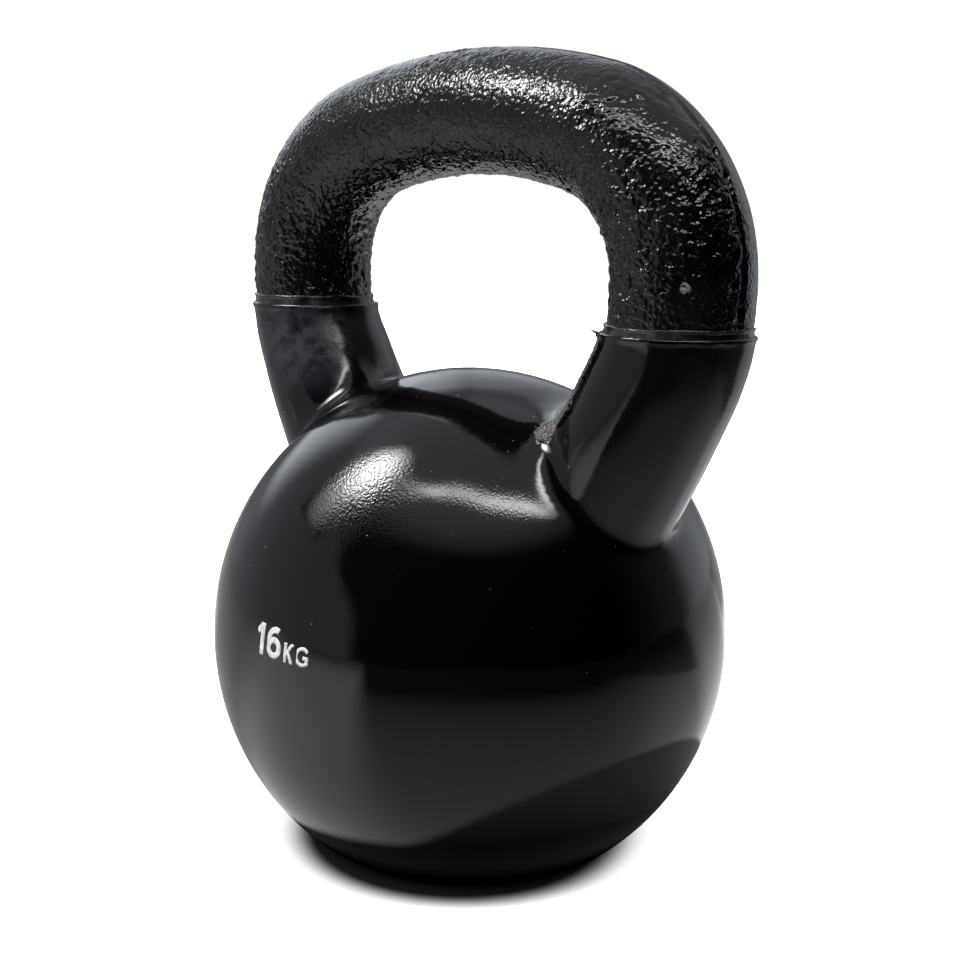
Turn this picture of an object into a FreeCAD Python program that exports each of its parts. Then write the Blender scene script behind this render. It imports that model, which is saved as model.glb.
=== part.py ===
"""Kettlebell: a one-piece iron casting, dip-coated in vinyl from its flat base up to its two horns.

Frame: millimetres, +Z up, origin at the centre of the flat base, handle along X.
"""
import FreeCAD
import Part
import Sketcher
import math
import os

Vector = FreeCAD.Vector

# Driving dimensions, in millimetres and degrees.
DIMENSIONS = {
    # ball
    "ball_radius": 78.8,
    "ball_centre_height": 64.2,
    "coat_on_ball": 2.0,
    "base_rim_radius": 2.0,
    # handle centreline, right half, from the crown down
    "crown_height": 217.9,
    "crown_bend_radius": 164.6,
    "corner_bend_radius": 41.8,
    "leg_offset": 74.9,
    "leg_foot_height": 169.0,
    "horn_bend_radius": 53.7,
    "horn_slant": 27.2,
    "horn_run": 51.0,
    # handle thickness
    "crown_bar_radius": 17.6,
    "leg_bar_radius": 19.1,
    "coat_on_horn": 1.1,
    "root_fillet_radius": 12.0,
    # where the coat stops
    "collar_height": 158.3,
    "collar_edge_radius": 0.4,
    "film_width": 3.2,
    "film_thickness": 0.6,
    # printed weight figure
    "mark_height": 8.8,
    "mark_stroke": 1.7,
    "mark_centre_x": 4.3,
    "mark_centre_height": 75.1,
    "mark_thickness": 0.2,
}

# Depth of the pocket that trims the coated horns, enough to clear their tops.
COAT_CUT_HEIGHT = 120.0
# A new circle's radius, before its expression sets it.
START_RADIUS = 10.0
# How near an edge is to a surface or a level to count as on it, and how far from the middle to be at a side.
SURFACE_TOLERANCE = 0.05
LEVEL_TOLERANCE = 0.01
SIDE_OFFSET = 5.0


# ---------------------------------------------------------------- document helpers
def make_sheet(doc):
    """Put the driving dimensions in a spreadsheet, one aliased cell each."""
    sheet = doc.addObject("Spreadsheet::Sheet", "dims")
    for row, (alias, value) in enumerate(DIMENSIONS.items(), start=1):
        sheet.set(f"A{row}", alias)
        sheet.set(f"B{row}", str(value))
        sheet.setAlias(f"B{row}", alias)
    doc.recompute()
    return sheet


def origin_plane(body, role):
    """Return the body's own origin plane with this role."""
    for feature in body.Origin.OriginFeatures:
        if feature.Role == role:
            return feature
    raise ValueError("no plane " + role)


def new_sketch(body, role, name):
    """Start a sketch on one of the body's origin planes."""
    sketch = body.newObject("Sketcher::SketchObject", name)
    sketch.AttachmentSupport = [(origin_plane(body, role), "")]
    sketch.MapMode = "FlatFace"
    return sketch


def constrain(sketch, expression, *definition):
    """Add a constraint, and bind its value to an expression if one is given."""
    index = sketch.addConstraint(Sketcher.Constraint(*definition))
    if expression:
        sketch.setExpression(f"Constraints[{index}]", expression)
    return index


def flat(x, y):
    return Vector(x, y, 0)


def add_arc(sketch, centre, radius, start_degrees, end_degrees):
    circle = Part.Circle(centre, Vector(0, 0, 1), radius)
    arc = Part.ArcOfCircle(circle, math.radians(start_degrees), math.radians(end_degrees))
    return sketch.addGeometry(arc)


def add_circle_section(body, role, name, centre, radius_rule, height_rule, side_rule):
    """One circle, its centre at (side, height) in the sketch, sized by the sheet."""
    sketch = new_sketch(body, role, name)
    circle = sketch.addGeometry(Part.Circle(flat(*centre), Vector(0, 0, 1), START_RADIUS))
    constrain(sketch, radius_rule, "Radius", circle, START_RADIUS)
    for kind, value, rule in (("DistanceX", centre[0], side_rule), ("DistanceY", centre[1], height_rule)):
        if rule:
            constrain(sketch, rule, kind, -1, 1, circle, 3, value)
        else:
            axis = -2 if kind == "DistanceX" else -1
            constrain(sketch, None, "PointOnObject", circle, 3, axis)
    return sketch


def tangent_chain(sketch, joints):
    """Join consecutive pieces of a path end to end, each tangent to the next."""
    for first, first_end, second, second_end in joints:
        constrain(sketch, None, "Tangent", first, first_end, second, second_end)


# ---------------------------------------------------------------- ball and handle features
def add_ball(body, sheet, radius_rule, base_rule, radius, base):
    """A sphere cut flat at the base, revolved from a half section."""
    centre = sheet.ball_centre_height
    base_radius = math.sqrt(radius ** 2 - (centre - base) ** 2)
    base_angle = math.degrees(math.asin((base - centre) / radius))
    sketch = new_sketch(body, "XZ_Plane", body.Name + "_ball_section")
    arc = add_arc(sketch, flat(0, centre), radius, base_angle, 90.0)
    floor = sketch.addGeometry(Part.LineSegment(flat(0, base), flat(base_radius, base)))
    axis = sketch.addGeometry(Part.LineSegment(flat(0, centre + radius), flat(0, base)))
    constrain(sketch, None, "Coincident", floor, 2, arc, 1)
    constrain(sketch, None, "Coincident", arc, 2, axis, 1)
    constrain(sketch, None, "Coincident", axis, 2, floor, 1)
    constrain(sketch, None, "PointOnObject", arc, 3, -2)
    constrain(sketch, None, "PointOnObject", axis, 1, -2)
    constrain(sketch, None, "PointOnObject", axis, 2, -2)
    constrain(sketch, None, "Horizontal", floor)
    constrain(sketch, radius_rule, "Radius", arc, radius)
    constrain(sketch, "dims.ball_centre_height", "DistanceY", -1, 1, arc, 3, centre)
    if base:
        constrain(sketch, base_rule, "DistanceY", -1, 1, floor, 1, base)
    else:
        constrain(sketch, None, "PointOnObject", floor, 1, -1)
    ball = body.newObject("PartDesign::Revolution", body.Name + "_ball")
    ball.Profile = sketch
    ball.ReferenceAxis = (sketch, ["V_Axis"])
    ball.Angle = 360.0
    return ball


def add_horn_path(body, sheet):
    """From the foot of the straight leg, a bend inwards and a straight run into the ball."""
    slant = math.radians(sheet.horn_slant)
    bend = sheet.horn_bend_radius
    top = flat(sheet.leg_offset, sheet.leg_foot_height)
    centre = top - flat(bend, 0)
    foot = centre + flat(bend * math.cos(slant), -bend * math.sin(slant))
    root = foot - flat(sheet.horn_run * math.sin(slant), sheet.horn_run * math.cos(slant))
    sketch = new_sketch(body, "XZ_Plane", body.Name + "_horn_path")
    arc = add_arc(sketch, centre, bend, -sheet.horn_slant, 0.0)
    run = sketch.addGeometry(Part.LineSegment(foot, root))
    tangent_chain(sketch, [(arc, 1, run, 1)])
    constrain(sketch, "dims.horn_bend_radius", "Radius", arc, bend)
    constrain(sketch, "dims.leg_offset", "DistanceX", -1, 1, arc, 2, top.x)
    constrain(sketch, "dims.leg_foot_height", "DistanceY", -1, 1, arc, 2, top.y)
    constrain(sketch, "dims.leg_foot_height", "DistanceY", -1, 1, arc, 3, top.y)
    constrain(sketch, "dims.horn_run", "Distance", run, sheet.horn_run)
    constrain(sketch, "dims.horn_run * cos(dims.horn_slant * 1 deg)", "DistanceY", run, 2, run, 1,
              foot.y - root.y)
    return sketch


def add_grip_path(body, sheet):
    """From the crown over the corner bend and down the straight leg."""
    crown_centre = flat(0, sheet.crown_height - sheet.crown_bend_radius)
    reach = sheet.crown_bend_radius - sheet.corner_bend_radius
    corner_x = sheet.leg_offset - sheet.corner_bend_radius
    corner_centre = crown_centre + flat(corner_x, math.sqrt(reach ** 2 - corner_x ** 2))
    shoulder = math.degrees(math.acos(corner_x / reach))
    sketch = new_sketch(body, "XZ_Plane", body.Name + "_grip_path")
    crown = add_arc(sketch, crown_centre, sheet.crown_bend_radius, shoulder, 90.0)
    corner = add_arc(sketch, corner_centre, sheet.corner_bend_radius, 0.0, shoulder)
    leg_top = flat(sheet.leg_offset, corner_centre.y)
    leg = sketch.addGeometry(Part.LineSegment(leg_top, flat(sheet.leg_offset, sheet.leg_foot_height)))
    tangent_chain(sketch, [(crown, 1, corner, 2), (corner, 1, leg, 1)])
    constrain(sketch, None, "PointOnObject", crown, 3, -2)
    constrain(sketch, None, "PointOnObject", crown, 2, -2)
    constrain(sketch, None, "Vertical", leg)
    constrain(sketch, "dims.crown_bend_radius", "Radius", crown, sheet.crown_bend_radius)
    constrain(sketch, "dims.corner_bend_radius", "Radius", corner, sheet.corner_bend_radius)
    constrain(sketch, "dims.crown_height", "DistanceY", -1, 1, crown, 2, sheet.crown_height)
    constrain(sketch, "dims.leg_offset", "DistanceX", -1, 1, leg, 2, sheet.leg_offset)
    constrain(sketch, "dims.leg_foot_height", "DistanceY", -1, 1, leg, 2, sheet.leg_foot_height)
    return sketch


def add_leg_section(body, sheet, radius_rule, name):
    """The round section at the foot of the straight leg, in a level plane."""
    sketch = add_circle_section(body, "XY_Plane", name, (sheet.leg_offset, 0.0), radius_rule,
                                None, "dims.leg_offset")
    sketch.setExpression("AttachmentOffset.Base.z", "dims.leg_foot_height")
    return sketch


def add_horn(body, sheet, radius_rule):
    """A round bar from the foot of the leg into the ball."""
    horn_path = add_horn_path(body, sheet)
    section = add_leg_section(body, sheet, radius_rule, body.Name + "_horn_section")
    horn = body.newObject("PartDesign::AdditivePipe", body.Name + "_horn")
    horn.Profile = section
    horn.Spine = horn_path
    horn.Mode = "Standard"
    return horn


def add_grip(body, sheet):
    """The bare half handle, thicker at the leg than at the crown."""
    grip_path = add_grip_path(body, sheet)
    crown = add_circle_section(body, "YZ_Plane", body.Name + "_crown_section",
                               (0.0, sheet.crown_height), "dims.crown_bar_radius",
                               "dims.crown_height", None)
    leg = add_leg_section(body, sheet, "dims.leg_bar_radius", body.Name + "_leg_section")
    grip = body.newObject("PartDesign::AdditivePipe", body.Name + "_grip")
    grip.Profile = crown
    grip.Spine = grip_path
    grip.Transformation = "Multisection"
    grip.Sections = [leg]
    return grip


def add_mirror(body, originals):
    """Repeat the right-hand features on the left."""
    mirror = body.newObject("PartDesign::Mirrored", body.Name + "_left_side")
    mirror.Originals = originals
    mirror.MirrorPlane = (origin_plane(body, "YZ_Plane"), [""])
    body.Tip = mirror
    return mirror


# ---------------------------------------------------------------- sub-parts
def make_casting(doc, sheet):
    """The iron casting: core ball, two horns and the handle, in one piece."""
    body = doc.addObject("PartDesign::Body", "iron_casting")
    core_radius = sheet.ball_radius - sheet.coat_on_ball
    add_ball(body, sheet, "dims.ball_radius - dims.coat_on_ball", "dims.coat_on_ball",
             core_radius, sheet.coat_on_ball)
    doc.recompute()
    horn = add_horn(body, sheet, "dims.leg_bar_radius")
    doc.recompute()
    grip = add_grip(body, sheet)
    doc.recompute()
    add_mirror(body, [horn, grip])
    doc.recompute()
    return body


def root_edges(shape, sheet):
    """The creases where the two horns leave the ball."""
    centre = Vector(0, 0, sheet.ball_centre_height)
    names = []
    for number, edge in enumerate(shape.Edges, start=1):
        middle = edge.valueAt((edge.FirstParameter + edge.LastParameter) / 2)
        on_ball = abs(middle.distanceToPoint(centre) - sheet.ball_radius) < SURFACE_TOLERANCE
        if on_ball and middle.z > sheet.ball_centre_height and abs(middle.x) > SIDE_OFFSET:
            names.append(f"Edge{number}")
    return names


def level_circle_edges(shape, height):
    """The closed edges that lie in one level plane."""
    names = []
    for number, edge in enumerate(shape.Edges, start=1):
        box = edge.BoundBox
        if abs(box.ZMin - height) < LEVEL_TOLERANCE and abs(box.ZMax - height) < LEVEL_TOLERANCE:
            names.append(f"Edge{number}")
    return names


def add_fillet(body, base, edges, radius_rule, name):
    fillet = body.newObject("PartDesign::Fillet", name)
    fillet.Base = (base, edges)
    fillet.setExpression("Radius", radius_rule)
    body.Tip = fillet
    return fillet


def add_collar_cut(body, sheet):
    """Cut the coated horns off level at the collar."""
    half = sheet.ball_radius + sheet.leg_offset
    sketch = new_sketch(body, "XY_Plane", "collar_cut_section")
    sketch.setExpression("AttachmentOffset.Base.z", "dims.collar_height")
    corners = [flat(-half, -half), flat(half, -half), flat(half, half), flat(-half, half)]
    for start, end in zip(corners, corners[1:] + corners[:1]):
        sketch.addGeometry(Part.LineSegment(start, end))
    for side in range(4):
        constrain(sketch, None, "Coincident", side, 2, (side + 1) % 4, 1)
        constrain(sketch, None, "Horizontal" if side % 2 == 0 else "Vertical", side)
    constrain(sketch, None, "Symmetric", 0, 1, 1, 2, -1, 1)
    for side, kind in ((0, "DistanceX"), (1, "DistanceY")):
        constrain(sketch, "2 * (dims.ball_radius + dims.leg_offset)", kind, side, 1, side, 2, 2 * half)
    cut = body.newObject("PartDesign::Pocket", "collar_cut")
    cut.Profile = sketch
    cut.Length = COAT_CUT_HEIGHT
    cut.Reversed = True
    return cut


def make_coating(doc, sheet, casting):
    """The vinyl skin: the coated outside, with the casting taken out of it."""
    body = doc.addObject("PartDesign::Body", "coated_outside")
    add_ball(body, sheet, "dims.ball_radius", None, sheet.ball_radius, 0.0)
    doc.recompute()
    horn = add_horn(body, sheet, "dims.leg_bar_radius + dims.coat_on_horn")
    doc.recompute()
    mirror = add_mirror(body, [horn])
    doc.recompute()
    add_fillet(body, mirror, root_edges(mirror.Shape, sheet), "dims.root_fillet_radius",
               "root_fillets")
    doc.recompute()
    uncut_volume = body.Shape.Volume
    cut = add_collar_cut(body, sheet)
    doc.recompute()
    if cut.Shape.Volume >= uncut_volume:
        raise RuntimeError("the collar cut took nothing off")
    add_fillet(body, cut, level_circle_edges(cut.Shape, sheet.collar_height),
               "dims.collar_edge_radius", "collar_edges")
    doc.recompute()
    add_fillet(body, body.Tip, level_circle_edges(body.Shape, 0.0), "dims.base_rim_radius",
               "base_rim")
    doc.recompute()
    coating = doc.addObject("Part::Cut", "vinyl_coating")
    coating.Base = body
    coating.Tool = casting
    doc.recompute()
    return coating


def make_edge_films(doc, sheet, casting):
    """A thin band of film round each leg, standing on the coat's cut edge."""
    body = doc.addObject("PartDesign::Body", "film_sleeve")
    add_horn(body, sheet, "dims.leg_bar_radius + dims.film_thickness")
    slab = doc.addObject("Part::Box", "film_slab")
    slab.setExpression("Length", "2 * dims.leg_offset")
    slab.setExpression("Width", "2 * dims.leg_offset")
    slab.setExpression("Height", "dims.film_width")
    slab.setExpression("Placement.Base.y", "-dims.leg_offset")
    slab.setExpression("Placement.Base.z", "dims.collar_height")
    band = doc.addObject("Part::Common", "film_band")
    band.Base = body
    band.Tool = slab
    doc.recompute()
    right = doc.addObject("Part::Cut", "right_edge_film")
    right.Base = band
    right.Tool = casting
    left = doc.addObject("Part::Mirroring", "left_edge_film")
    left.Source = right
    left.Normal = Vector(1, 0, 0)
    doc.recompute()
    return [left, right]


# Strokes of each character, in a cell one unit high. A line is (x, z) to (x, z);
# an arc is its centre, radius, start and end angle.
CHARACTERS = {
    "1": {"width": 0.40, "lines": [((0.28, 0.0), (0.28, 1.0)), ((0.28, 0.96), (0.02, 0.70))], "arcs": []},
    "6": {"width": 0.66, "lines": [((0.09, 0.34), (0.09, 0.62))],
          "arcs": [((0.33, 0.34), 0.24, 0.0, 180.0), ((0.33, 0.34), 0.24, 180.0, 360.0),
                   ((0.37, 0.62), 0.28, 60.0, 180.0)]},
    "K": {"width": 0.66, "lines": [((0.1, 0.0), (0.1, 1.0)), ((0.10, 0.38), (0.62, 1.06)),
                                   ((0.26, 0.58), (0.60, -0.06))], "arcs": []},
    "G": {"width": 0.74, "lines": [((0.40, 0.46), (0.74, 0.46)), ((0.65, 0.12), (0.65, 0.46))],
          "arcs": [((0.37, 0.50), 0.40, 40.0, 315.0)]},
}
MARK_TEXT = (("1", 1.0), ("6", 1.0), ("K", 0.62), ("G", 0.62))
CHARACTER_GAP = 0.14


def line_stroke(start, end, width):
    """A flat bar of the given width between two points of the front plane."""
    run = end - start
    side = Vector(-run.z, 0, run.x).normalize() * (width / 2)
    corners = [start + side, end + side, end - side, start - side]
    return Part.Face(Part.makePolygon(corners + corners[:1]))


def arc_stroke(centre, radius, width, start_degrees, end_degrees):
    """A flat curved band of the given width in the front plane."""
    def rim(distance):
        circle = Part.Circle(centre, Vector(0, -1, 0), distance)
        circle.XAxis = Vector(1, 0, 0)
        return Part.ArcOfCircle(circle, math.radians(start_degrees), math.radians(end_degrees)).toShape()
    outer = rim(radius + width / 2)
    inner = rim(radius - width / 2)
    ends = [Part.makeLine(outer.Vertexes[i].Point, inner.Vertexes[i].Point) for i in (0, 1)]
    return Part.Face(Part.Wire(Part.__sortEdges__([outer, inner] + ends)))


def character_prism(character, left, foot, height, stroke, depth):
    """One character as a straight prism along Y, trimmed to its cell."""
    def place(point):
        return Vector(left + point[0] * height, 0, foot + point[1] * height)
    faces = [line_stroke(place(start), place(end), stroke) for start, end in character["lines"]]
    for centre, radius, start_degrees, end_degrees in character["arcs"]:
        faces.append(arc_stroke(place(centre), radius * height, stroke, start_degrees, end_degrees))
    prisms = [face.extrude(Vector(0, -depth, 0)) for face in faces]
    whole = prisms[0].fuse(prisms[1:])
    cell = Part.makeBox(height, depth, height, Vector(left, -depth, foot))
    return whole.common(cell).removeSplitter()


def make_weight_mark(doc, sheet):
    """The printed weight figure: a thin layer of ink that follows the ball's front."""
    centre = Vector(0, 0, sheet.ball_centre_height)
    depth = sheet.ball_radius + sheet.coat_on_ball
    ink_layer = Part.makeSphere(sheet.ball_radius + sheet.mark_thickness, centre)
    ink_layer = ink_layer.cut(Part.makeSphere(sheet.ball_radius, centre))
    widths = [CHARACTERS[name]["width"] * scale for name, scale in MARK_TEXT]
    total = sum(widths) + CHARACTER_GAP * (len(widths) - 1)
    left = sheet.mark_centre_x - total * sheet.mark_height / 2
    foot = sheet.mark_centre_height - sheet.mark_height / 2
    solids = []
    for (name, scale), width in zip(MARK_TEXT, widths):
        height = sheet.mark_height * scale
        prism = character_prism(CHARACTERS[name], left, foot, height, sheet.mark_stroke * scale, depth)
        solids += prism.common(ink_layer).Solids
        left += (width + CHARACTER_GAP) * sheet.mark_height
    mark = doc.addObject("Part::Feature", "weight_mark")
    mark.Shape = Part.Compound(solids)
    return mark


# ---------------------------------------------------------------- build, check, write
def check_document(doc, subparts):
    """Stop if any object failed, or any sub-part has a bad shape."""
    for item in doc.Objects:
        if any(word in item.State for word in ("Invalid", "Error")):
            raise RuntimeError(f"{item.Name} failed: {item.State}")
    for item in subparts:
        if item.Shape.isNull() or not item.Shape.isValid():
            raise RuntimeError(f"{item.Label} has a bad shape")


def write_subparts(subparts):
    os.makedirs("parts", exist_ok=True)
    for item in subparts:
        item.Shape.exportStep(f"parts/{item.Label}.step")
        solids = len(item.Shape.Solids)
        volume = item.Shape.Volume / 1000.0
        print(f"{item.Label}: {solids} solid(s), {volume:.2f} cm3, box {item.Shape.BoundBox}")


def main():
    doc = FreeCAD.newDocument("kettlebell")
    sheet = make_sheet(doc)
    casting = make_casting(doc, sheet)
    coating = make_coating(doc, sheet, casting)
    films = make_edge_films(doc, sheet, casting)
    mark = make_weight_mark(doc, sheet)
    doc.recompute()
    subparts = [casting, coating] + films + [mark]
    check_document(doc, subparts)
    write_subparts(subparts)


main()
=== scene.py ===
"""Kettlebell, the looks: a rough-cast iron handle and a glossy dip-coated ball, in a small light tent.

Shape work is in millimetres, and meshes are made in metres. The ball, the horns and the handle are one smooth
distance field, so that the coat can be meshed, refined and pressed on to it.
"""
import bpy
import bmesh
import math
import numpy as np
from mathutils import Matrix, Vector, noise


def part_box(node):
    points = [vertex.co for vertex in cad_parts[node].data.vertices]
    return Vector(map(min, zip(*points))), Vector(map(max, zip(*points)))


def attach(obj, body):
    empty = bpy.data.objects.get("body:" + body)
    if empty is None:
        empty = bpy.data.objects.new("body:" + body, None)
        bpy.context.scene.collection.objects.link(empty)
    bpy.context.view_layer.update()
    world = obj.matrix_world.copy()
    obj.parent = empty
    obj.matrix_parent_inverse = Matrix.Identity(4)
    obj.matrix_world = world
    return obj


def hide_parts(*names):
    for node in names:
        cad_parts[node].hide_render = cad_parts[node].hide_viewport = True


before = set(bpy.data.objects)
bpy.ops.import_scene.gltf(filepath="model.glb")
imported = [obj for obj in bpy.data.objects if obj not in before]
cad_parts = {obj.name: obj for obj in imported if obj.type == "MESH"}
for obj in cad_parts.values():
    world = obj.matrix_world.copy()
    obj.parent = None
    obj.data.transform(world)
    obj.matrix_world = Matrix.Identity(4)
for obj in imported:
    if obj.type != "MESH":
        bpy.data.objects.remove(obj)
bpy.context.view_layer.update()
MM = 0.001

# ---------------------------------------------------------------- sizes, in millimetres
coat_low, coat_high = (np.array(corner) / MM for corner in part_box("vinyl_coating"))
iron_low, iron_high = (np.array(corner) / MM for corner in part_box("iron_casting"))

COLLAR_Z = coat_high[2]
BALL_CENTRE = 63.4
BALL_SIDE = coat_high[1] - 0.5
BALL_RISE = BALL_SIDE + 1.6
BALL_SEMI = np.array([BALL_SIDE, BALL_SIDE, BALL_RISE])
BASE_RIM = 2.4

LEG_RADIUS = 19.1
CROWN_RADIUS = 17.6
LEG_X = iron_high[0] - LEG_RADIUS
CROWN_Z = iron_high[2] - CROWN_RADIUS
CROWN_BEND = 164.6
CORNER_BEND = 41.8
LEG_FOOT_Z = 169.0
HORN_BEND = 53.7
HORN_SLANT = math.radians(27.2)
HORN_RUN = 51.0
COAT_ON_HORN = 1.1
COAT_ON_BALL = 1.9
FLASH_TURN = math.radians(-136.0)
ROOT_WIDTH = 22.4
COLLAR_BEAD = 0.40
COAT_VOXEL = 1.97
# The trapped seam up the inside of the right horn, and the rough patch at its foot.
SEAM_PATH = [(45.5, -16.0, 133.0), (50.5, -15.0, 140.0), (55.0, -14.6, 147.0), (59.0, -14.5, 157.0)]
CROTCH_SPOT = (44.3, -16.3, 130.8)
SCUFF_SPOT = (15.0, -57.0, 113.0)

# The rounded-over rim, ring by ring from outside to inside: way out, way up, share of the raggedness.
RIM_PROFILE = ((-0.06, 0.30, 0.4), (-0.28, 0.58, 0.8), (-0.65, 0.68, 1.0), (-1.00, 0.30, 0.6))
# The film's section, outside then inside: way out from the leg and way up from the collar.
FILM_PROFILE = ((-0.9, 0.0), (0.60, 0.0), (0.50, 0.5), (0.36, 1.2), (0.28, 1.7), (0.32, 2.0), (0.52, 2.3),
                (0.56, 2.6), (0.28, 2.9), (-0.9, 2.8))
FILM_TOP = 2.9
# The rim and the film stand taller on the left (-1) than on the right (1).
RIM_LIFT = {-1: 1.7, 1: 1.0}
FILM_LIFT = {-1: 1.35, 1: 1.0}
CAD_BALL_CENTRE = 64.2
INK_DEPTH = 0.2
MERGE_DISTANCE = 2e-6

HANDLE_SPACING = 0.62
HANDLE_AROUND = 184
HIDDEN_KEEP = 5
STUB_SPACING = 3.0
STUB_AROUND = 48
FILM_AROUND = 420

BEND_X = LEG_X - HORN_BEND
FOOT_X = BEND_X + HORN_BEND * math.cos(HORN_SLANT)
FOOT_Z = LEG_FOOT_Z - HORN_BEND * math.sin(HORN_SLANT)
SLANT = np.array([-math.sin(HORN_SLANT), -math.cos(HORN_SLANT)])
UPWARD = np.array([0.0, 0.0, 1.0])


# ---------------------------------------------------------------- small maths
def smooth(low, high, value):
    """0 below low, 1 above high, smooth between."""
    t = np.clip((value - low) / (high - low), 0.0, 1.0)
    return t * t * (3.0 - 2.0 * t)


def mix(a, b, t):
    return a + (b - a) * t


def bumps(points, size, seed=0.0):
    """Smooth noise between about -1 and 1, with features of the given size: one number or one per axis."""
    places = points / np.asarray(size, float) + seed
    return np.fromiter((noise.noise(p) for p in places.tolist()), float, len(places)) * 1.6


def smooth_union(a, b, width):
    """The smaller of two distances, rounded where they are within width of each other."""
    h = np.maximum(width - np.abs(a - b), 0.0) / width
    return np.minimum(a, b) - h ** 3 * width / 6.0


# ---------------------------------------------------------------- the distance field of the coated outside
def mirrored(points):
    """Points with those of the left half moved over to the right half."""
    right = points.copy()
    right[:, 0] = np.abs(right[:, 0])
    return right


def ball_distance(p):
    """About the distance to the coated ball, which is a little taller than it is wide."""
    q = p - np.array([0.0, 0.0, BALL_CENTRE])
    near = np.linalg.norm(q / BALL_SEMI, axis=1)
    slope = np.linalg.norm(q / BALL_SEMI ** 2, axis=1)
    return near * (near - 1.0) / np.maximum(slope, 1e-9)


def leg_frame(p):
    """For points beside the right leg: way out from its centreline in the handle's plane, and way down it."""
    x, z = p[:, 0], p[:, 2]
    straight_out, straight_down = x - LEG_X, LEG_FOOT_Z - z
    from_bend = np.stack([x - BEND_X, z - LEG_FOOT_Z], axis=1)
    turn = np.arctan2(-from_bend[:, 1], from_bend[:, 0])
    bend_out = np.linalg.norm(from_bend, axis=1) - HORN_BEND
    bend_down = turn * HORN_BEND
    from_foot = np.stack([x - FOOT_X, z - FOOT_Z], axis=1)
    slant_down = from_foot @ SLANT
    slant_out = from_foot @ np.array([-SLANT[1], SLANT[0]])
    below = slant_down > 0.0
    above = straight_down < 0.0
    out = np.where(below, slant_out, np.where(above, straight_out, bend_out))
    down = np.where(below, slant_down + HORN_BEND * HORN_SLANT, np.where(above, straight_down, bend_down))
    return out, down


def horn_distance(p):
    """Distance to the coated right horn, which widens from front to back towards its root, and the way out."""
    out, down = leg_frame(p)
    bead = COLLAR_BEAD * np.exp(-((p[:, 2] - COLLAR_Z + 0.1) / 0.6) ** 2)
    thick = LEG_RADIUS + COAT_ON_HORN
    across = mix(thick, ROOT_WIDTH, smooth(8.0, 45.0, down))
    near = np.hypot(out / thick, p[:, 1] / across)
    slope = np.hypot(out / thick ** 2, p[:, 1] / across ** 2)
    return near * (near - 1.0) / np.maximum(slope, 1e-9) - bead, out


def coat_field(p):
    """Signed distance, in millimetres, to the coat's outer surface with the horns carried on upwards."""
    ball = ball_distance(p)
    horn, out = horn_distance(mirrored(p))
    inward = 0.5 - 0.5 * out / np.maximum(np.hypot(out, p[:, 1]), 1e-6)
    width = mix(4.5, 19.0, smooth(0.35, 1.0, inward))
    body = smooth_union(ball, horn, width)
    ripple = 0.16 * np.sin(p[:, 0] / 17.0 + 1.3) * np.sin(p[:, 1] / 21.0) * np.sin(p[:, 2] / 19.0 + 0.6)
    return -smooth_union(-(body + ripple), p[:, 2], BASE_RIM * 2.0)


def field_slope(p, field, step=0.02):
    """The field's slope at each point."""
    slopes = []
    for axis in np.eye(3):
        slopes.append((field(p + axis * step) - field(p - axis * step)) / (2.0 * step))
    return np.stack(slopes, axis=1)


def press_on(p, field, rounds=6):
    """Move points on to the field's zero surface."""
    for _ in range(rounds):
        slope = field_slope(p, field)
        square = np.maximum((slope ** 2).sum(axis=1), 0.2)
        p = p - (field(p) / square)[:, None] * slope
    return p


# ---------------------------------------------------------------- mesh helpers
def mesh_points(mesh):
    co = np.zeros(len(mesh.vertices) * 3)
    mesh.vertices.foreach_get("co", co)
    return co.reshape(-1, 3) / MM


def set_mesh_points(mesh, points):
    mesh.vertices.foreach_set("co", (points * MM).ravel())
    mesh.update()


def add_object(name, data):
    obj = bpy.data.objects.new(name, data)
    bpy.context.scene.collection.objects.link(obj)
    return obj


def new_object(name, points, faces):
    """A smooth-shaded mesh object from points in millimetres."""
    mesh = bpy.data.meshes.new(name)
    mesh.from_pydata((points * MM).tolist(), [], faces)
    mesh.validate()
    mesh.shade_smooth()
    return add_object(name, mesh)


def loft_faces(rings):
    """Quads between closed rings of as many points, given as lists of point numbers."""
    faces = []
    for lower, upper in zip(rings[:-1], rings[1:]):
        for step in range(len(lower)):
            following = (step + 1) % len(lower)
            faces.append((lower[step], lower[following], upper[following], upper[step]))
    return faces


def tube_faces(rings, around):
    """Quads between rings of points in order, with a face at each end."""
    numbers = [list(range(ring * around, (ring + 1) * around)) for ring in range(rings)]
    return loft_faces(numbers) + [tuple(reversed(numbers[0])), tuple(numbers[-1])]


def rings_along(centre, tangent, around):
    """For rings round a line in the handle's plane: middles, ways out at their points, and angles."""
    angle = np.arange(around) * 2.0 * math.pi / around
    out_plane = np.stack([-tangent[:, 1], np.zeros(len(tangent)), tangent[:, 0]], axis=1)
    middle = np.stack([centre[:, 0], np.zeros(len(centre)), centre[:, 1]], axis=1)
    spoke = (out_plane[:, None, :] * np.cos(angle)[None, :, None]
             + np.array([0.0, 1.0, 0.0]) * np.sin(angle)[None, :, None])
    return middle[:, None, :], spoke, angle


def flat_footed_ball(segments, rings, semi, foot):
    """A mesh of the ball with these half sizes, pressed flat at the height of its foot."""
    bm = bmesh.new()
    bmesh.ops.create_uvsphere(bm, u_segments=segments, v_segments=rings, radius=1.0)
    for vert in bm.verts:
        place = np.array(vert.co) * semi + np.array([0.0, 0.0, BALL_CENTRE])
        place[2] = max(place[2], foot)
        vert.co = place * MM
    mesh = bpy.data.meshes.new("ball")
    bm.to_mesh(mesh)
    bm.free()
    return mesh


def bm_points(bm):
    return np.array([vert.co for vert in bm.verts]) / MM


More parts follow.
